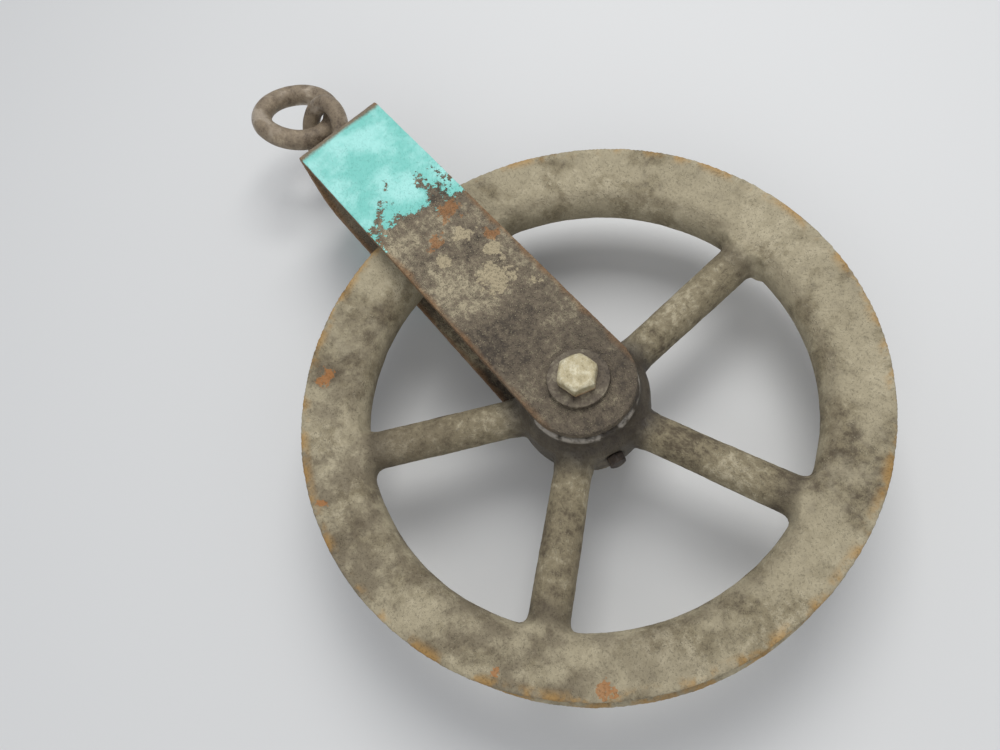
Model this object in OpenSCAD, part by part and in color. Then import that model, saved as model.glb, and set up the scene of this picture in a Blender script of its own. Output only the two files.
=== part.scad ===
// Construction pulley: a spoked cast-iron rope wheel that turns on a bolted axle
// in a fork bent from flat bar, and hangs from a ring in a swivelling eye.
// All sizes are in millimetres. The axle lies along Z, the wheel's middle plane
// is at Z = 0, and the fork reaches out along +X to the eye and the ring.

/* [Rim] */
// Diameter of the wheel over the lips of its rope groove
wheel_d = 300; // [260:5:360]
// Width of the rim over its two lips
rim_w = 39; // [37:1:48]
// Thickness of each lip at its edge
lip_t = 3.2; // [2.5:0.1:4.5]
// Bevel on the outer corner of each lip
lip_bevel = 1; // [0.5:0.1:1.5]
// Depth of the rope groove below the lips
groove_depth = 26; // [22:1:30]
// Width of the round bottom of the rope groove
groove_bottom_w = 18; // [12:1:20]
// Iron between the bottom of the groove and the inside of the rim
rim_floor_t = 6.7; // [5:0.1:9]
// Width of the rounded inside of the rim
rim_inner_w = 30; // [28:1:34]

/* [Spokes] */
// Angle of each spoke from the fork, a little uneven as the casting is
spoke_angles = [-12, 62, 131, 202, 273];
// Diameter of a spoke
spoke_d = 21; // [16:1:23]
// Radius of the fillets at both ends of a spoke
spoke_fillet_r = 7; // [4:0.5:8]
// Height that the fillets are dressed down to
spoke_root_h = 25; // [24:0.5:27]

/* [Hub] */
// Diameter of the hub at its end faces
hub_face_d = 60; // [54:1:64]
// Diameter of the thick middle of the hub
hub_body_d = 70; // [66:1:80]
// Length of the hub along the axle
hub_len = 42; // [38:1:48]
// Length of the thick middle of the hub
hub_body_len = 20; // [16:1:24]
// Length of the straight collar at each end of the hub
hub_collar_len = 5; // [2:0.5:7]

/* [Bearing] */
// Outer diameter of the bush in the hub
bush_d = 30; // [28:0.5:34]
// Outer diameter of the distance sleeve that the bush turns on
sleeve_d = 22; // [18:0.5:24]
// Running clearance round the sleeve
bearing_gap = 0.05; // [0.02:0.01:0.09]
// Diameter of the washers between the hub and the fork
thrust_washer_d = 52; // [44:1:54]
// Thickness of the washers between the hub and the fork
thrust_washer_t = 2.2; // [1.5:0.1:4]
// Clearance round the sleeve in a thrust washer
thrust_washer_gap = 0.3; // [0.2:0.05:0.6]
// Side play on each face of a thrust washer
side_play = 0.05; // [0.03:0.01:0.2]

/* [Oil plug] */
// Angle of the oil plug from the fork
oil_plug_angle = 166.5; // [165:0.5:168]
// Thread diameter of the oil plug
oil_plug_d = 6; // [5:0.5:7]
// Size of the plug's hexagon across its flats
oil_plug_af = 9; // [8:0.5:9.5]
// Height of the plug's hexagon
oil_plug_head_h = 5; // [4:0.5:9]
// Depth of the flat that is spot-faced for the plug
spot_face_depth = 0.9; // [0.7:0.1:1.5]
// Diameter of the oil hole through the bush
oil_hole_d = 4; // [2:0.5:4.5]

/* [Fork] */
// Width of the flat bar
strap_w = 58.5; // [52:0.5:62]
// Thickness of the flat bar
strap_t = 5.7; // [4:0.1:7]
// Distance from the axle to the outside of the fork's closed end
fork_reach = 231; // [220:1:260]
// Outer radius of the bend at the upper arm
top_bend_r = 8; // [7.5:0.5:12]
// Outer radius of the bend at the lower arm
bottom_bend_r = 15; // [8:0.5:15]

/* [Axle bolt] */
// Diameter of the axle bolt
bolt_d = 12; // [10:1:14]
// Size of the bolt head and nuts across their flats
bolt_af = 19; // [18:1:24]
// Height of the bolt head
bolt_head_h = 8; // [6:0.5:10]
// Turn of the bolt head about the axle
bolt_head_turn = 12; // [0:1:59]
// Diameter of the washers under the head and the nut
washer_d = 32; // [26:1:37]
// Thickness of the washers under the head and the nut
washer_t = 3; // [2:0.1:4]
// Height of the main nut
nut_h = 10; // [8:0.5:12]
// Height of the lock nut
lock_nut_h = 7; // [5:0.5:8]
// Turn of the lock nut against the main nut
lock_nut_turn = 21; // [0:1:59]
// Length of bolt that stands out of the lock nut
bolt_tail = 2; // [1:0.5:5]
// Clearance round the bolt in the fork, the sleeve and the washers
bolt_gap = 0.3; // [0.2:0.05:0.5]
// Clearance between the threads of the bolt and the nuts
thread_gap = 0.05; // [0.02:0.01:0.1]

/* [Swivel eye] */
// Diameter of the eye's shank
shank_d = 16; // [13:0.5:17]
// Running clearance round the shank in the fork
swivel_gap = 0.06; // [0.02:0.01:0.09]
// End play of the swivel at each side of the fork's closed end
end_play = 0.1; // [0.05:0.01:0.3]
// Diameter of the collar outside the fork
collar_d = 24; // [20:0.5:26]
// Thickness of the collar
collar_t = 4; // [3:0.5:5]
// Distance from the closed end of the fork to the middle of the eye
eye_reach = 29; // [28:0.5:34]
// Diameter of the hole in the eye
eye_hole_d = 21.5; // [21:0.5:24]
// Thickness of the eye's bar
eye_bar_d = 11.5; // [10:0.5:12]
// Turn of the eye about its shank as the pulley lies
eye_turn = 42; // [35:1:44]
// Diameter of the washer under the riveted end of the shank
rivet_washer_d = 26; // [23:0.5:28]
// Thickness of the washer under the riveted end
rivet_washer_t = 2.5; // [2:0.1:3.5]
// Clearance round the shank in that washer
rivet_washer_gap = 0.3; // [0.2:0.05:0.6]
// Diameter of the riveted end
rivet_head_d = 22; // [20:0.5:24]
// Height of the riveted end
rivet_head_h = 6; // [4:0.5:8]

/* [Ring] */
// Diameter of the hole in the ring
ring_hole_d = 34; // [33:0.5:40]
// Thickness of the ring's bar
ring_bar_d = 13.5; // [11:0.5:14]
// Middle of the ring from the middle of the eye, as the pulley lies
ring_offset = [22, 7.5, 1.5];
// Roll of the ring about the fork's length, as the pulley lies
ring_roll = 18; // [15:1:22]

/* [Hidden] */
$fn = 96;

CAST_IRON = "#a89a80";
SPOKE_IRON = "#8c8270";
GREASY_IRON = "#4d443a";
BRONZE = "#9c7a45";
STEEL = "#7d776d";
STRAP_STEEL = "#76695b";
BOLT_STEEL = "#b7aa86";
FORGED_STEEL = "#8a7a63";

wheel_r = wheel_d / 2;
groove_bottom_r = groove_bottom_w / 2;
groove_mid = [wheel_r - groove_depth + groove_bottom_r, 0];
rim_inner_r = wheel_r - groove_depth - rim_floor_t;
bulge_r = rim_inner_w / 2;
bulge_mid = [rim_inner_r + bulge_r, 0];
lip_corner = [wheel_r, rim_w / 2];
lip_inside = [wheel_r, rim_w / 2 - lip_t];

sleeve_len = hub_len + 2 * thrust_washer_t + 4 * side_play;
arm_inner_z = sleeve_len / 2;
arm_outer_z = arm_inner_z + strap_t;
thrust_z = hub_len / 2 + side_play;

head_z = arm_outer_z + washer_t;
nut_z = -arm_outer_z - washer_t - nut_h;
lock_nut_z = nut_z - lock_nut_h;
bolt_end_z = lock_nut_z - bolt_tail;

bridge_inner_x = fork_reach - strap_t;
rivet_x = bridge_inner_x - rivet_washer_t - end_play;
collar_x = fork_reach + end_play;
eye_x = fork_reach + eye_reach;
eye_mid_r = (eye_hole_d + eye_bar_d) / 2;
ring_mid_r = (ring_hole_d + ring_bar_d) / 2;
plug_seat_r = hub_body_d / 2 - spot_face_depth;

// Length by which a cutting tool runs past the face that it cuts
CUT = 1;
// Share of a tapered neck's end that stays inside the bar it runs into
NECK_FIT = 0.92;

// Point where the line from an outside point touches a circle, on the circle's +Y side
function touch_point(mid, r, outside) =
    let (to = outside - mid, angle = atan2(to[1], to[0]) + acos(r / norm(to)))
    mid + r * [cos(angle), sin(angle)];

module tube(outer_d, inner_d, length) {
    difference() {
        cylinder(d = outer_d, h = length);
        translate([0, 0, -CUT]) cylinder(d = inner_d, h = length + 2 * CUT);
    }
}

// Hexagon with its upper corners turned off
module hexagon(across_flats, height) {
    across_corners = across_flats / cos(30);
    bevel_h = (across_corners - across_flats) * 0.7;
    intersection() {
        cylinder(d = across_corners, h = height, $fn = 6);
        union() {
            cylinder(d = across_corners, h = height - bevel_h);
            translate([0, 0, height - bevel_h])
                cylinder(d1 = across_corners, d2 = across_flats * 0.9, h = bevel_h);
        }
    }
}

// Low round head, flat side down
module dome(width, height) {
    ball_r = (width * width / 4 + height * height) / (2 * height);
    rotate_extrude() intersection() {
        translate([0, height - ball_r]) circle(ball_r);
        square([width / 2, height]);
    }
}

// Upper half of the rim without its groove: a rounded bead, and a lip that runs off it
module rim_solid() {
    rotate_extrude() intersection() {
        translate(bulge_mid) circle(bulge_r);
        translate([rim_inner_r - CUT, 0]) square(2 * (bulge_r + CUT));
    }
    rotate_extrude() polygon([
        bulge_mid,
        touch_point(bulge_mid, bulge_r, lip_corner),
        lip_corner - [lip_bevel, 0],
        lip_corner - [0, lip_bevel],
        [wheel_r, 0]]);
}

module groove_solid() {
    rotate_extrude() translate(groove_mid) circle(groove_bottom_r);
    rotate_extrude() polygon([
        groove_mid,
        touch_point(groove_mid, groove_bottom_r, lip_inside),
        lip_inside,
        lip_inside + [CUT, 0],
        [wheel_r + CUT, -CUT],
        [groove_mid[0], -CUT]]);
}

module rim_half() {
    difference() {
        rim_solid();
        groove_solid();
    }
}

module rim_upper_flange() {
    color(CAST_IRON) rim_half();
}

module rim_lower_flange() {
    color(CAST_IRON) mirror([0, 0, 1]) rim_half();
}

module hub_section() {
    polygon([
        [0, -hub_len / 2],
        [hub_face_d / 2, -hub_len / 2],
        [hub_face_d / 2, hub_collar_len - hub_len / 2],
        [hub_body_d / 2, -hub_body_len / 2],
        [hub_body_d / 2, hub_body_len / 2],
        [hub_face_d / 2, hub_len / 2 - hub_collar_len],
        [hub_face_d / 2, hub_len / 2],
        [0, hub_len / 2]]);
}

// Half section of a spoke along its length, with a fillet towards the hub and the rim
module spoke_section() {
    shaft_r = spoke_d / 2;
    root_r = shaft_r + spoke_fillet_r;
    hub_end = hub_body_d / 2;
    start = hub_face_d / 4;
    finish = bulge_mid[0];
    translate([0, start]) square([shaft_r, finish - start]);
    difference() {
        translate([0, start]) square([root_r, hub_end + spoke_fillet_r - start]);
        translate([root_r, hub_end + spoke_fillet_r]) circle(spoke_fillet_r);
    }
    difference() {
        translate([0, rim_inner_r - spoke_fillet_r])
            square([root_r, finish - rim_inner_r + spoke_fillet_r]);
        translate([root_r, rim_inner_r - spoke_fillet_r]) circle(spoke_fillet_r);
    }
}

module plug_direction() {
    rotate([0, 0, oil_plug_angle]) rotate([0, 90, 0]) children();
}

// Cut that spot-faces the seat of the oil plug and clears the fillets of the spokes beside it
module spot_face() {
    plug_direction() translate([0, 0, plug_seat_r])
        cylinder(d = oil_plug_af / cos(30) + 2 * CUT, h = hub_body_d);
}

module spoke(number) {
    color(SPOKE_IRON) difference() {
        intersection() {
            rotate([0, 0, spoke_angles[number - 1]]) rotate([0, 90, 0])
                rotate_extrude() spoke_section();
            translate([0, 0, -spoke_root_h / 2]) cylinder(r = wheel_r, h = spoke_root_h);
        }
        rotate_extrude() hub_section();
        rim_solid();
        mirror([0, 0, 1]) rim_solid();
        spot_face();
    }
}

module hub() {
    color(GREASY_IRON) difference() {
        rotate_extrude() hub_section();
        translate([0, 0, -hub_len / 2 - CUT]) cylinder(d = bush_d, h = hub_len + 2 * CUT);
        plug_direction() cylinder(d = oil_plug_d, h = hub_body_d);
        spot_face();
    }
}

module hub_bush() {
    color(BRONZE) difference() {
        translate([0, 0, -hub_len / 2]) tube(bush_d, sleeve_d + 2 * bearing_gap, hub_len);
        plug_direction() cylinder(d = oil_hole_d, h = bush_d);
    }
}

module oil_plug() {
    color(GREASY_IRON) plug_direction() {
        translate([0, 0, bush_d / 2 + CUT]) cylinder(d = oil_plug_d, h = plug_seat_r - bush_d / 2 - CUT);
        translate([0, 0, plug_seat_r]) hexagon(oil_plug_af, oil_plug_head_h);
    }
}

module distance_sleeve() {
    color(STEEL) translate([0, 0, -sleeve_len / 2])
        tube(sleeve_d, bolt_d + 2 * bolt_gap, sleeve_len);
}

module thrust_washer() {
    color(STEEL) translate([0, 0, thrust_z])
        tube(thrust_washer_d, sleeve_d + 2 * thrust_washer_gap, thrust_washer_t);
}

module upper_thrust_washer() {
    thrust_washer();
}

module lower_thrust_washer() {
    mirror([0, 0, 1]) thrust_washer();
}

// One arm of the fork with its round end, and the quarter bend at its other end
module fork_arm(bend_r) {
    translate([0, 0, arm_inner_z]) cylinder(d = strap_w, h = strap_t);
    translate([0, -strap_w / 2, arm_inner_z]) cube([fork_reach - bend_r, strap_w, strap_t]);
    translate([fork_reach - bend_r, 0, arm_outer_z - bend_r]) rotate([90, 0, 0])
        rotate_extrude(angle = 90) translate([bend_r - strap_t, -strap_w / 2]) square([strap_t, strap_w]);
}

module fork_strap() {
    bridge_low = bottom_bend_r - arm_outer_z;
    bridge_high = arm_outer_z - top_bend_r;
    color(STRAP_STEEL) difference() {
        union() {
            fork_arm(top_bend_r);
            mirror([0, 0, 1]) fork_arm(bottom_bend_r);
            translate([bridge_inner_x, -strap_w / 2, bridge_low])
                cube([strap_t, strap_w, bridge_high - bridge_low]);
        }
        translate([0, 0, -arm_outer_z - CUT])
            cylinder(d = bolt_d + 2 * bolt_gap, h = 2 * (arm_outer_z + CUT));
        translate([bridge_inner_x - CUT, 0, 0]) rotate([0, 90, 0])
            cylinder(d = shank_d + 2 * swivel_gap, h = strap_t + 2 * CUT);
    }
}

module axle_bolt() {
    tip_bevel = bolt_d / 8;
    color(BOLT_STEEL) {
        translate([0, 0, head_z]) rotate([0, 0, bolt_head_turn]) hexagon(bolt_af, bolt_head_h);
        translate([0, 0, bolt_end_z + tip_bevel]) cylinder(d = bolt_d, h = head_z - bolt_end_z - tip_bevel);
        translate([0, 0, bolt_end_z]) cylinder(d1 = bolt_d - 2 * tip_bevel, d2 = bolt_d, h = tip_bevel);
    }
}

module head_washer() {
    color(STEEL) translate([0, 0, arm_outer_z]) tube(washer_d, bolt_d + 2 * bolt_gap, washer_t);
}

module nut_washer() {
    color(STEEL) translate([0, 0, -arm_outer_z - washer_t])
        tube(washer_d, bolt_d + 2 * bolt_gap, washer_t);
}

// Nut that stands on the given height, bevelled on the side away from the fork
module nut(low_z, height, turn) {
    translate([0, 0, low_z + height]) rotate([0, 0, turn]) mirror([0, 0, 1]) difference() {
        hexagon(bolt_af, height);
        translate([0, 0, -CUT]) cylinder(d = bolt_d + 2 * thread_gap, h = height + 2 * CUT);
    }
}

module axle_nut() {
    color(STEEL) nut(nut_z, nut_h, 0);
}

module lock_nut() {
    color(STEEL) nut(lock_nut_z, lock_nut_h, lock_nut_turn);
}

module swivel_eye() {
    neck_x = collar_x + collar_t;
    color(FORGED_STEEL) {
        translate([rivet_x, 0, 0]) rotate([0, -90, 0]) dome(rivet_head_d, rivet_head_h);
        translate([rivet_x, 0, 0]) rotate([0, 90, 0]) cylinder(d = shank_d, h = collar_x - rivet_x);
        translate([collar_x, 0, 0]) rotate([0, 90, 0]) cylinder(d = collar_d, h = collar_t);
        translate([neck_x, 0, 0]) rotate([0, 90, 0])
            cylinder(d1 = shank_d, d2 = eye_bar_d * NECK_FIT, h = eye_x - eye_mid_r - neck_x);
        translate([eye_x, 0, 0]) rotate([eye_turn - 90, 0, 0])
            rotate_extrude() translate([eye_mid_r, 0]) circle(d = eye_bar_d);
    }
}

module rivet_washer() {
    color(STEEL) translate([bridge_inner_x - rivet_washer_t, 0, 0]) rotate([0, 90, 0])
        tube(rivet_washer_d, shank_d + 2 * rivet_washer_gap, rivet_washer_t);
}

module hanging_ring() {
    color(FORGED_STEEL) translate([eye_x, 0, 0] + ring_offset) rotate([ring_roll, 0, 0])
        rotate_extrude() translate([ring_mid_r, 0]) circle(d = ring_bar_d);
}

rim_upper_flange();
rim_lower_flange();
for (number = [1 : len(spoke_angles)])
    spoke(number);
hub();
hub_bush();
oil_plug();
distance_sleeve();
upper_thrust_washer();
lower_thrust_washer();
fork_strap();
axle_bolt();
head_washer();
nut_washer();
axle_nut();
lock_nut();
swivel_eye();
rivet_washer();
hanging_ring();
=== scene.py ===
"""Looks of the construction pulley: rough castings, weathered flat bar, forged eye and ring."""
import math

import bmesh
import bpy
from mathutils import Matrix, Vector, noise

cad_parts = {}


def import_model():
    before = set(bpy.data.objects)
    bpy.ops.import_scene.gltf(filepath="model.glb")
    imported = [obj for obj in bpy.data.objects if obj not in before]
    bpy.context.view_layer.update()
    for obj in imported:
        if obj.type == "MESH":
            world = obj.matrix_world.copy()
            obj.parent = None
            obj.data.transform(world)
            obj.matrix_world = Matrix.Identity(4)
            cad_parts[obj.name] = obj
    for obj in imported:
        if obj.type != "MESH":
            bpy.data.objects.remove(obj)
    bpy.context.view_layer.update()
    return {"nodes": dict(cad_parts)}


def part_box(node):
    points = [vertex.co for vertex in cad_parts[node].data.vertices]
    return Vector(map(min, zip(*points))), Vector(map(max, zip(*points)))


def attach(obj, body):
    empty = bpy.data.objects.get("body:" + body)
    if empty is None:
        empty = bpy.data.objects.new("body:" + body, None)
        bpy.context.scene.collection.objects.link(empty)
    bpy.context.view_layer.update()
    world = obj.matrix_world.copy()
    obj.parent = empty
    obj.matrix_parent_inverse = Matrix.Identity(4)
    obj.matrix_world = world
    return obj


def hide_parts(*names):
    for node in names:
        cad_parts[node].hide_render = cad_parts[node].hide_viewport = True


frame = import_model()

MM = 0.001
FLOOR_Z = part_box("axle_bolt")[0].z
STRAP_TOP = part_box("fork_strap")[1].z
STRAP_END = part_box("fork_strap")[1].x
RIM_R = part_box("rim_upper_flange")[1].x
# Radius within which the spokes' ends lie against the hub
HUB_ROOT_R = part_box("hub")[1].x + 5 * MM
RING_MID = (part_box("hanging_ring")[0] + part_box("hanging_ring")[1]) / 2
WHEEL_NODES = (
    "rim_upper_flange", "rim_lower_flange", "spoke_1", "spoke_2", "spoke_3", "spoke_4", "spoke_5", "hub")

# How far the copies of the wheel's pieces reach into each other, and the spokes further into the hub
JOIN = 1.5 * MM
HUB_JOIN = 3 * MM
# Where the spokes' ends begin, as shares of the rim's radius
SPOKE_HUB_END = 0.3
SPOKE_RIM_END = 0.7
# How deep the ring is drawn in, and on how many sides
RING_DRAW = 1.2 * MM
RING_SIDES = 3
# Points closer than this are one point, and points this near the middle plane lie on it
WELD = 0.002 * MM
PLANE = 0.01 * MM

# Noise patterns of the materials: scale per metre, detail and roughness
STAINS = (26.0, 5.0, 0.6)
GRIME = (210.0, 5.0, 0.75)
SAND = (850.0, 3.0, 0.8)
CRUMB_PATCHES = (110.0, 5.0, 0.7)
TORN_EDGE = (160.0, 6.0, 0.7)
DUST = (45.0, 5.0, 0.6)
MUD = (34.0, 6.0, 0.7)
LIP_RUST = (70.0, 4.0, 0.6)
RUBBING = (60.0, 5.0, 0.6)
FLAKES = (44.0, 4.0, 0.6)
SMALL_FLAKES = (190.0, 6.0, 0.75)
EDGE_RUST = (60.0, 4.0, 0.6)
FADING_AND_SHEEN = (40.0, 4.0, 0.6)
BOLT_RUST = (150.0, 4.0, 0.6)
HANDLING_AND_HIGHLIGHT = (55.0, 3.0, 0.6)
CRUMB_SCALE = 640.0
BUMP_DEPTH = 1.6 * MM
# Shares of the three patterns that make the crust's tones
STAINS_SHARE, GRIME_SHARE, SAND_SHARE = 0.4, 0.36, 0.24

# Zones of the wheel in millimetres, each as where it begins and where it is full.
# By the distance from the axle:
DUSTY_RIM = (112, 118)
RIM_LIP = (143, 149)
GROOVE = (119, 126)
GREASE_END = (40, 56)
FACE_EDGE_START, FACE_EDGE_END = (27, 28.5), (30, 31.5)
# Painted shade: a dark band on the rim's inner edge, where the spokes meet the rim.
SPOKE_FOOT_SHADE_START, SPOKE_FOOT_SHADE_END = (100, 111), (113, 119)
# By the distance from the middle plane:
GROOVE_MOUTH = (9, 14)
HUB_FACE = (17, 19)
# Across the wheel, towards the muddy side:
MUDDY_SIDE = (0, 130)

# Zones of the strap in millimetres. Along it, from the axle:
BOLT_DIRT_END = (10, 90)
CHIPPED_PAINT = (118, 196)
DUSTY_BAR = (120, 226)
PAINT_START = (127, 133)
# Before its closed end, below its outer face and across it:
BARE_END = (6, 2)
OUTER_FACE = (1.2, 0.5)
RUSTY_SIDE = (29, 33)
# Height up to which the bolt is rusty
BOLT_RUST_TOP = (34, 37)
# How far noise moves the edges of the grease, of the bare end, of the rusty side and of the bolt's rust
GREASE_SWAY, END_SWAY, SIDE_SWAY, BOLT_SWAY = 16 * MM, 8 * MM, 8 * MM, 4 * MM

# Single spots as their middle and size in millimetres
RIM_RUST = (
    ((94, 100, 19), 3), ((-117, 85, 19), 4), ((40, 138, 19), 3), ((-80, 118, 19), 3), ((100, 98, 14), 5))
STRAP_CEMENT = (
    ((77, -7, 29), 9), ((92, -16, 29), 5), ((104, 8, 29), 4), ((60, -20, 29), 4), ((112, -10, 29), 6))
STRAP_RUST = (((118, 4, 29), 5), ((100, -22, 29), 4), ((128, -14, 29), 6))


def tone(code):
    """Linear colour of a colour written as it looks on a screen, such as "a59b82"."""
    parts = [int(code[i:i + 2], 16) / 255 for i in (0, 2, 4)]
    return (*[p / 12.92 if p <= 0.04045 else ((p + 0.055) / 1.055) ** 2.4 for p in parts], 1)


# Meshes

def merged_copy(name, nodes, reach=None):
    """Closed copies of CAD nodes in one mesh. reach(node, point) says where a point goes."""
    whole = bmesh.new()
    for node in nodes:
        form = bmesh.new()
        form.from_mesh(frame["nodes"][node].data)
        bmesh.ops.remove_doubles(form, verts=form.verts, dist=WELD)
        if reach:
            for vertex in form.verts:
                vertex.co = reach(node, vertex.co)
        part = bpy.data.meshes.new(node + "_copy")
        form.to_mesh(part)
        form.free()
        whole.from_mesh(part)
        bpy.data.meshes.remove(part)
    mesh = bpy.data.meshes.new(name)
    whole.to_mesh(mesh)
    whole.free()
    piece = bpy.data.objects.new(name, mesh)
    bpy.context.scene.collection.objects.link(piece)
    return piece


def baked(piece):
    """Turns the piece's modifiers into its own plain mesh."""
    graph = bpy.context.evaluated_depsgraph_get()
    mesh = bpy.data.meshes.new_from_object(piece.evaluated_get(graph))
    piece.modifiers.clear()
    piece.data = mesh
    return piece


def softened(piece, voxel, rounds):
    """Joins what overlaps in one skin, and rounds its edges and inner corners."""
    skin = piece.modifiers.new("skin", "REMESH")
    skin.mode = "VOXEL"
    skin.voxel_size = voxel
    skin.use_smooth_shade = True
    soft = piece.modifiers.new("soft", "SMOOTH")
    soft.factor = 0.5
    soft.iterations = rounds
    return baked(piece)


def roughened(piece, layers, mean=0.3, swing=0.5):
    """Sinks the skin by noise of each (size, depth), so that the piece hardly grows anywhere."""
    places = [v.co.copy() for v in piece.data.vertices]
    normals = [v.normal.copy() for v in piece.data.vertices]
    for vertex, place, normal in zip(piece.data.vertices, places, normals):
        depth = 0
        for number, (size, most) in enumerate(layers):
            depth += most * (mean + swing * noise.noise(place / size + Vector((7 * number, 3, 1))))
        vertex.co = place - normal * depth
    piece.data.update()
    return piece


def wheel_reach(node, point):
    """Lengthens the wheel's pieces into each other by a little, so that they join."""
    radius = math.hypot(point.x, point.y)
    if node.startswith("rim") and abs(point.z) < PLANE:
        return point + Vector((0, 0, -JOIN if node == "rim_upper_flange" else JOIN))
    share = 1
    if node.startswith("spoke") and radius > SPOKE_RIM_END * RIM_R:
        share = 1 + JOIN / radius
    elif node.startswith("spoke") and radius < SPOKE_HUB_END * RIM_R:
        share = 1 - JOIN / radius
        if radius < HUB_ROOT_R:
            share -= HUB_JOIN / radius
    return Vector((point.x * share, point.y * share, point.z))


def worn_ring(piece):
    """Draws the ring in on three sides, as a ring is that was forged by hand, but not where the eye lies."""
    for vertex in piece.data.vertices:
        outward = vertex.co - RING_MID
        turn = math.atan2(outward.y, outward.x)
        inward = Vector((-outward.x, -outward.y, 0)).normalized()
        vertex.co += inward * RING_DRAW * (0.5 + 0.5 * math.cos(RING_SIDES * turn))
    piece.data.update()


# Node groups and materials

def put(tree, kind, inputs=None, **settings):
    """Adds a node, sets its settings, and sets or links its inputs by name or number."""
    node = tree.nodes.new(kind)
    for name, value in settings.items():
        setattr(node, name, value)
    for name, value in (inputs or {}).items():
        if isinstance(value, bpy.types.NodeSocket):
            tree.links.new(value, node.inputs[name])
        else:
            node.inputs[name].default_value = value
    return node


def calc(tree, operation, first, second=0.0):
    return put(tree, "ShaderNodeMath", {0: first, 1: second}, operation=operation).outputs[0]


def plus(tree, first, second):
    return calc(tree, "ADD", first, second)


def minus(tree, first, second):
    return calc(tree, "SUBTRACT", first, second)


def times(tree, first, second):
    return calc(tree, "MULTIPLY", first, second)


def inverse(tree, mask):
    """1 where the mask is 0, and 0 where it is 1."""
    return minus(tree, 1.0, mask)


def blend(tree, share, first, second):
    """Colour between first and second."""
    node = put(tree, "ShaderNodeMix", {0: share, 6: first, 7: second}, data_type="RGBA")
    return node.outputs[2]


def tint(tree, color, mask, strength, code):
    """The colour, with that of the code laid over it where the mask is 1."""
    return blend(tree, times(tree, mask, strength), color, tone(code))


def ramp(tree, value, low, high):
    """0 where value is below low, 1 where it is above high, smooth between."""
    node = put(tree, "ShaderNodeMapRange", {0: value, 1: low, 2: high}, interpolation_type="SMOOTHSTEP")
    return node.outputs[0]


def beyond(tree, value, low, high):
    """The same ramp for a length, with low and high in millimetres."""
    return ramp(tree, value, low * MM, high * MM)


def between(tree, value, start, end):
    """1 for a length past the whole of start and before end, each a zone in millimetres."""
    return times(tree, beyond(tree, value, *start), inverse(tree, beyond(tree, value, *end)))


def before(tree, value, edge, zone):
    """0 to 1 for a length as it nears an edge in metres, over a zone in millimetres before it."""
    return ramp(tree, value, edge - zone[0] * MM, edge - zone[1] * MM)


def cloud(tree, place, pattern):
    scale, detail, roughness = pattern
    inputs = {"Vector": place, "Scale": scale, "Detail": detail, "Roughness": roughness}
    return put(tree, "ShaderNodeTexNoise", inputs).outputs[0]


def patches(tree, place, pattern, low, high):
    """Mask of a noise pattern where it is above low to high."""
    return ramp(tree, cloud(tree, place, pattern), low, high)


def new_group(name, inputs, outputs):
    """An empty node group with its sockets, given as (name, socket type, start value)."""
    tree = bpy.data.node_groups.new(name, "ShaderNodeTree")
    for label, kind, start in inputs:
        socket = tree.interface.new_socket(label, in_out="INPUT", socket_type=kind)
        if start is not None:
            socket.default_value = start
    for label, kind in outputs:
        tree.interface.new_socket(label, in_out="OUTPUT", socket_type=kind)
    return tree, tree.nodes.new("NodeGroupInput").outputs, tree.nodes.new("NodeGroupOutput").inputs


FLOAT, COLOR, VECTOR = "NodeSocketFloat", "NodeSocketColor", "NodeSocketVector"


def make_crust():
    """Dried cement and dirt: stains of three tones, crumbs and pits."""
    tree, given, made = new_group(
        "crust",
        [("Place", VECTOR, None), ("Dark", COLOR, None), ("Middle", COLOR, None), ("Light", COLOR, None),
         ("Lightness", FLOAT, 0.5), ("Crumbs", FLOAT, 0.5)],
        [("Color", COLOR), ("Height", FLOAT)])
    place = given["Place"]
    wide, fine, sand = (cloud(tree, place, pattern) for pattern in (STAINS, GRIME, SAND))
    mixed = plus(tree, times(tree, wide, STAINS_SHARE), times(tree, fine, GRIME_SHARE))
    mixed = plus(tree, mixed, times(tree, sand, SAND_SHARE))
    lifted = plus(tree, mixed, times(tree, minus(tree, given["Lightness"], 0.5), 0.5))
    color = blend(tree, ramp(tree, lifted, 0.4, 0.5), given["Dark"], given["Middle"])
    color = blend(tree, ramp(tree, lifted, 0.5, 0.6), color, given["Light"])
    cells = put(tree, "ShaderNodeTexVoronoi", {"Vector": place, "Scale": CRUMB_SCALE, "Randomness": 1.0})
    few = minus(tree, 0.78, times(tree, given["Crumbs"], 0.5))
    where = patches(tree, place, CRUMB_PATCHES, few, plus(tree, few, 0.18))
    crumb = times(tree, inverse(tree, ramp(tree, cells.outputs["Distance"], 0.12, 0.42)), where)
    pits = ramp(tree, sand, 0.56, 0.66)
    color = blend(tree, times(tree, pits, 0.55), color, given["Dark"])
    color = blend(tree, times(tree, crumb, 0.6), color, given["Light"])
    height = plus(tree, times(tree, crumb, 0.5), times(tree, fine, 0.9))
    tree.links.new(color, made["Color"])
    tree.links.new(minus(tree, height, times(tree, pits, 0.3)), made["Height"])
    return tree


def make_stain():
    """A ragged spot round a middle: 1 inside, 0 outside."""
    tree, given, made = new_group(
        "stain",
        [("Place", VECTOR, None), ("Middle", VECTOR, None), ("Size", FLOAT, 0.01), ("Ragged", FLOAT, 0.6)],
        [("Mask", FLOAT)])
    ends = {0: given["Place"], 1: given["Middle"]}
    away = put(tree, "ShaderNodeVectorMath", ends, operation="DISTANCE").outputs["Value"]
    share = calc(tree, "DIVIDE", away, given["Size"])
    ragged = times(tree, given["Ragged"], 4.0)
    torn = times(tree, minus(tree, cloud(tree, given["Place"], TORN_EDGE), 0.5), ragged)
    mask = inverse(tree, ramp(tree, plus(tree, share, torn), 0.85, 1.0))
    tree.links.new(mask, made["Mask"])
    return tree


CRUST, STAIN = make_crust(), make_stain()


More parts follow.
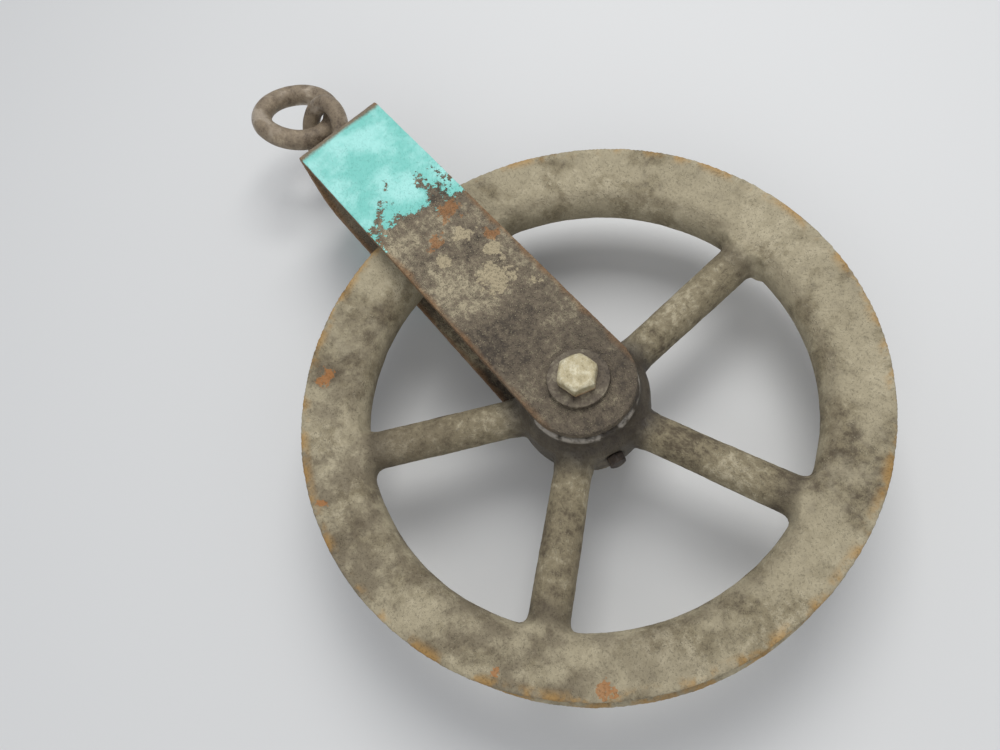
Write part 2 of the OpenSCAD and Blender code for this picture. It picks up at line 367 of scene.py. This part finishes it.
def finish(name, dark, middle, light, lightness=0.5, crumbs=0.5, rough=0.85, shine=0.0, relief=0.35,
           extra=None):
    """A crusted metal. extra() may paint over its colour, and change its gloss and height."""
    material = bpy.data.materials.new(name)
    material.use_nodes = True
    tree = material.node_tree
    shader = next(n for n in tree.nodes if n.type == "BSDF_PRINCIPLED")
    place = put(tree, "ShaderNodeTexCoord").outputs["Object"]
    crust = put(tree, "ShaderNodeGroup", node_tree=CRUST)
    tree.links.new(place, crust.inputs["Place"])
    for label, value in (("Dark", dark), ("Middle", middle), ("Light", light)):
        crust.inputs[label].default_value = tone(value)
    crust.inputs["Lightness"].default_value = lightness
    crust.inputs["Crumbs"].default_value = crumbs
    color = crust.outputs["Color"]
    height = crust.outputs["Height"]
    gloss = plus(tree, rough - 0.1, times(tree, height, 0.12))
    if extra:
        color, gloss, height = extra(tree, place, color, gloss, height)
    tree.links.new(color, shader.inputs["Base Color"])
    tree.links.new(gloss, shader.inputs["Roughness"])
    shader.inputs["Metallic"].default_value = shine
    bump = put(tree, "ShaderNodeBump", {"Height": height, "Strength": relief, "Distance": BUMP_DEPTH})
    tree.links.new(bump.outputs[0], shader.inputs["Normal"])
    return material


def spots(tree, place, color, places, ragged, strength, code):
    """Lays ragged spots of one colour over another, with their middles and sizes in millimetres."""
    for middle, size in places:
        node = put(tree, "ShaderNodeGroup", node_tree=STAIN)
        tree.links.new(place, node.inputs["Place"])
        node.inputs["Middle"].default_value = [v * MM for v in middle]
        node.inputs["Size"].default_value = size * MM
        node.inputs["Ragged"].default_value = ragged
        color = tint(tree, color, node.outputs["Mask"], strength, code)
    return color


def axes_of(tree, place):
    return put(tree, "ShaderNodeSeparateXYZ", {0: place}).outputs


def wheel_paint(tree, place, color, gloss, height):
    """Cement dust on the rim, rust at its lips, a darker groove, dirt on the hub, mud on one side, and
    painted shade at the rim's inner edge.
    """
    axes = axes_of(tree, place)
    level = calc(tree, "ABSOLUTE", axes[2])
    squares = plus(tree, times(tree, axes[0], axes[0]), times(tree, axes[1], axes[1]))
    radius = calc(tree, "SQRT", squares)
    patchy = cloud(tree, place, DUST)

    dusty = times(tree, beyond(tree, radius, *DUSTY_RIM), ramp(tree, patchy, 0.36, 0.56))
    color = tint(tree, color, dusty, 0.6, "b5aa8e")
    muddy = times(tree, beyond(tree, axes[1], *MUDDY_SIDE), patches(tree, place, MUD, 0.42, 0.58))
    color = tint(tree, color, muddy, 0.65, "5b4f3d")
    rusty_lip = times(tree, beyond(tree, radius, *RIM_LIP), patches(tree, place, LIP_RUST, 0.45, 0.62))
    color = tint(tree, color, rusty_lip, 0.7, "a9803f")
    # Darker inside the groove, near the middle plane.
    groove = times(tree, beyond(tree, radius, *GROOVE), inverse(tree, beyond(tree, level, *GROOVE_MOUTH)))
    color = tint(tree, color, groove, 0.6, "5d5040")
    color = spots(tree, place, color, RIM_RUST, 1.4, 0.7, "a56a30")

    uneven_radius = plus(tree, radius, times(tree, patchy, GREASE_SWAY))
    greasy = inverse(tree, beyond(tree, uneven_radius, *GREASE_END))
    color = tint(tree, color, greasy, 0.85, "2e261e")
    face_edge = between(tree, radius, FACE_EDGE_START, FACE_EDGE_END)
    rubbed = times(tree, face_edge, beyond(tree, level, *HUB_FACE))
    rubbed = times(tree, rubbed, patches(tree, place, RUBBING, 0.5, 0.6))
    color = tint(tree, color, rubbed, 0.7, "b5ada0")
    # Painted shade, darker in colour, on the rim's inner edge and the spokes' feet.
    foot = between(tree, radius, SPOKE_FOOT_SHADE_START, SPOKE_FOOT_SHADE_END)
    color = tint(tree, color, foot, 0.45, "4c4336")
    return color, minus(tree, gloss, times(tree, greasy, 0.3)), height


def strap_paint(tree, place, color, gloss, height):
    """Turquoise paint near the ring, flaked off in chips, on bare flat bar with cement and rust."""
    axes = axes_of(tree, place)
    outer = before(tree, calc(tree, "ABSOLUTE", axes[2]), STRAP_TOP, OUTER_FACE)
    flaking = times(tree, cloud(tree, place, FLAKES), 0.55)
    flaking = plus(tree, flaking, times(tree, cloud(tree, place, SMALL_FLAKES), 0.45))
    kept = plus(tree, flaking, times(tree, beyond(tree, axes[0], *CHIPPED_PAINT), 0.24))
    painted = times(tree, ramp(tree, kept, 0.565, 0.58), beyond(tree, axes[0], *PAINT_START))
    bare_end = before(tree, plus(tree, axes[0], times(tree, flaking, END_SWAY)), STRAP_END, BARE_END)
    painted = times(tree, times(tree, painted, inverse(tree, bare_end)), outer)

    color = tint(tree, color, beyond(tree, axes[0], *DUSTY_BAR), 0.55, "8f8069")
    uneven_side = times(tree, cloud(tree, place, EDGE_RUST), SIDE_SWAY)
    side = plus(tree, calc(tree, "ABSOLUTE", axes[1]), uneven_side)
    color = tint(tree, color, beyond(tree, side, *RUSTY_SIDE), 0.6, "8a6238")
    near_bolt = inverse(tree, beyond(tree, axes[0], *BOLT_DIRT_END))
    color = tint(tree, color, near_bolt, 0.4, "4a4034")
    color = spots(tree, place, color, STRAP_CEMENT, 1.3, 0.75, "b3a585")
    color = spots(tree, place, color, STRAP_RUST, 1.5, 0.6, "a06a35")

    # Paint in two tones by noise patches: the paler tone is partly faded paint and partly painted highlight.
    paint = blend(tree, patches(tree, place, FADING_AND_SHEEN, 0.4, 0.65), tone("77c9bd"), tone("a3e3da"))
    color = blend(tree, times(tree, painted, 0.96), color, paint)
    under = times(tree, height, inverse(tree, times(tree, painted, 0.75)))
    height = plus(tree, under, times(tree, painted, 0.45))
    return color, minus(tree, gloss, times(tree, painted, 0.3)), height


def bolt_paint(tree, place, color, gloss, height):
    """Rust round the foot of the bolt head and all the way down to the bolt's end."""
    uneven = times(tree, cloud(tree, place, BOLT_RUST), BOLT_SWAY)
    low = inverse(tree, beyond(tree, plus(tree, axes_of(tree, place)[2], uneven), *BOLT_RUST_TOP))
    return tint(tree, color, low, 0.75, "8f5f2e"), gloss, height


def forged_wear_and_highlight(tree, place, color, gloss, height):
    """Steel rubbed bright in patches: partly steel worn bright by handling, partly painted highlight."""
    # Pale patches in the colour, partly wear from handling and partly painted highlight.
    rubbed = patches(tree, place, HANDLING_AND_HIGHLIGHT, 0.5, 0.66)
    color = tint(tree, color, rubbed, 0.5, "bcae9a")
    return color, minus(tree, gloss, times(tree, rubbed, 0.3)), height


CASTING = finish(
    "dusty_cast_iron", "554a38", "857a60", "b0a58a", crumbs=0.6, relief=0.7, extra=wheel_paint)
FLAT_BAR = finish(
    "crusted_flat_bar", "3a3228", "6f6351", "ab9f83", crumbs=0.95, relief=0.85, extra=strap_paint)
BOLT = finish(
    "yellowed_bolt", "7d704e", "b0a482", "d2caae", lightness=0.56, crumbs=0.15, rough=0.6, shine=0.15,
    extra=bolt_paint)
FORGED = finish(
    "forged_steel", "57493a", "857661", "ab9b82", lightness=0.52, crumbs=0.25, rough=0.6, shine=0.15,
    relief=0.5, extra=forged_wear_and_highlight)
WASHER = finish("dirty_steel", "3a3128", "62584a", "8d8470", rough=0.7, shine=0.35)
GREASED = finish(
    "greasy_steel", "1d1813", "3a3027", "5d5141", lightness=0.45, crumbs=0.3, rough=0.55, shine=0.2)
BRONZE = finish(
    "oily_bronze", "4f3b1e", "7f6233", "a3834c", crumbs=0.1, rough=0.45, shine=0.7, relief=0.15)


def dress(piece, material):
    piece.data.materials.clear()
    piece.data.materials.append(material)


def shade_smooth(piece):
    for face in piece.data.polygons:
        face.use_smooth = True


# The pieces that replace plain solids

# Noise of each rough skin, as the size and the depth of its layers
CAST_LAYERS = ((40 * MM, 0.5 * MM), (9 * MM, 0.35 * MM), (2.5 * MM, 0.25 * MM))
BAR_LAYERS = ((30 * MM, 0.25 * MM), (5 * MM, 0.25 * MM), (1.8 * MM, 0.3 * MM))
FORGED_LAYERS = ((18 * MM, 0.35 * MM), (5 * MM, 0.2 * MM))
BOLT_LAYERS = ((6 * MM, 0.35 * MM), (2 * MM, 0.15 * MM))


# Size of the casting's cells, which keeps it under 200,000 triangles, and its rounds of smoothing
CAST_VOXEL = 1.55 * MM
CAST_ROUNDS = 4


def make_wheel():
    """One casting with no seams for the rim, the spokes and the hub."""
    wheel = softened(merged_copy("wheel_casting", WHEEL_NODES, wheel_reach), CAST_VOXEL, CAST_ROUNDS)
    roughened(wheel, CAST_LAYERS)
    dress(wheel, CASTING)
    shade_smooth(wheel)
    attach(wheel, "wheel")
    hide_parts(*WHEEL_NODES)


def make_worn(name, node, body, material, voxel, rounds, layers, shape=None):
    """A skin for one CAD node, with soft edges and a rough face. voxel is its cells' size in millimetres."""
    worn = softened(merged_copy(name, [node]), voxel * MM, rounds)
    if shape:
        shape(worn)
    roughened(worn, layers)
    dress(worn, material)
    shade_smooth(worn)
    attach(worn, body)
    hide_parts(node)


make_wheel()
make_worn("weathered_strap", "fork_strap", "fork", FLAT_BAR, 1.0, 2, BAR_LAYERS)
make_worn("forged_eye", "swivel_eye", "eye", FORGED, 0.7, 3, FORGED_LAYERS)
make_worn("forged_ring", "hanging_ring", "ring", FORGED, 0.7, 3, FORGED_LAYERS, worn_ring)
make_worn("worn_bolt", "axle_bolt", "fork", BOLT, 0.5, 5, BOLT_LAYERS)
make_worn("worn_washer", "head_washer", "fork", WASHER, 0.5, 3, BOLT_LAYERS)
make_worn("worn_plug", "oil_plug", "wheel", GREASED, 0.4, 4, BOLT_LAYERS)

FINISHES = {
    "nut_washer": WASHER, "axle_nut": WASHER, "lock_nut": WASHER, "rivet_washer": WASHER,
    "distance_sleeve": GREASED, "upper_thrust_washer": GREASED, "lower_thrust_washer": GREASED,
    "hub_bush": BRONZE}
for node, material in FINISHES.items():
    dress(frame["nodes"][node], material)


# Floor, light and camera

FLOOR_HALF = 3.0
FLOOR_COLOR = "d4d4d2"
FLOOR_ROUGHNESS = 0.6
# Lamps as name, place, size and watts
LAMPS = (("key", (0.35, -0.45, 1.1), 0.7, 9), ("fill", (-0.8, 0.7, 0.9), 0.9, 4))
SKY_COLOR = (0.9, 0.93, 1, 1)
SKY_STRENGTH = 0.55
# The photograph's camera, found from the wheel's rim, the strap and the bolt
CAMERA_PLACE = Vector((-155.336, 81.45, 419.774)) * MM
CAMERA_RIGHT = Vector((-0.60904, -0.77222, -0.18094))
CAMERA_UP = Vector((0.67049, -0.62315, 0.40265))
SENSOR_WIDTH = 36
FOCAL_LENGTH = 30.96


def make_floor():
    mesh = bpy.data.meshes.new("floor")
    corners = [(x * FLOOR_HALF, y * FLOOR_HALF, FLOOR_Z) for x, y in ((-1, -1), (1, -1), (1, 1), (-1, 1))]
    mesh.from_pydata(corners, [], [(0, 1, 2, 3)])
    floor = bpy.data.objects.new("floor", mesh)
    bpy.context.scene.collection.objects.link(floor)
    material = bpy.data.materials.new("pale_floor")
    material.use_nodes = True
    shader = next(n for n in material.node_tree.nodes if n.type == "BSDF_PRINCIPLED")
    shader.inputs["Base Color"].default_value = tone(FLOOR_COLOR)
    shader.inputs["Roughness"].default_value = FLOOR_ROUGHNESS
    dress(floor, material)


def make_lamp(name, place, size, watts):
    """A square lamp that points at the axle."""
    lamp = bpy.data.lights.new(name, "AREA")
    lamp.size = size
    lamp.energy = watts
    holder = bpy.data.objects.new(name, lamp)
    holder.location = place
    holder.rotation_mode = "QUATERNION"
    holder.rotation_quaternion = (-Vector(place)).to_track_quat("-Z", "Y")
    bpy.context.scene.collection.objects.link(holder)


def make_world():
    world = bpy.data.worlds.new("studio")
    world.use_nodes = True
    sky = next(n for n in world.node_tree.nodes if n.type == "BACKGROUND")
    sky.inputs["Color"].default_value = SKY_COLOR
    sky.inputs["Strength"].default_value = SKY_STRENGTH
    bpy.context.scene.world = world


def make_camera():
    turn = Matrix((CAMERA_RIGHT, CAMERA_UP, CAMERA_RIGHT.cross(CAMERA_UP))).transposed()
    lens = bpy.data.cameras.new("camera")
    lens.sensor_width = SENSOR_WIDTH
    lens.lens = FOCAL_LENGTH
    lens.clip_start = 0.01
    camera = bpy.data.objects.new("camera", lens)
    camera.matrix_world = Matrix.Translation(CAMERA_PLACE) @ turn.to_4x4()
    bpy.context.scene.collection.objects.link(camera)
    bpy.context.scene.camera = camera


make_floor()
for lamp in LAMPS:
    make_lamp(*lamp)
make_world()
make_camera()
bpy.context.scene.view_settings.view_transform = "Standard"
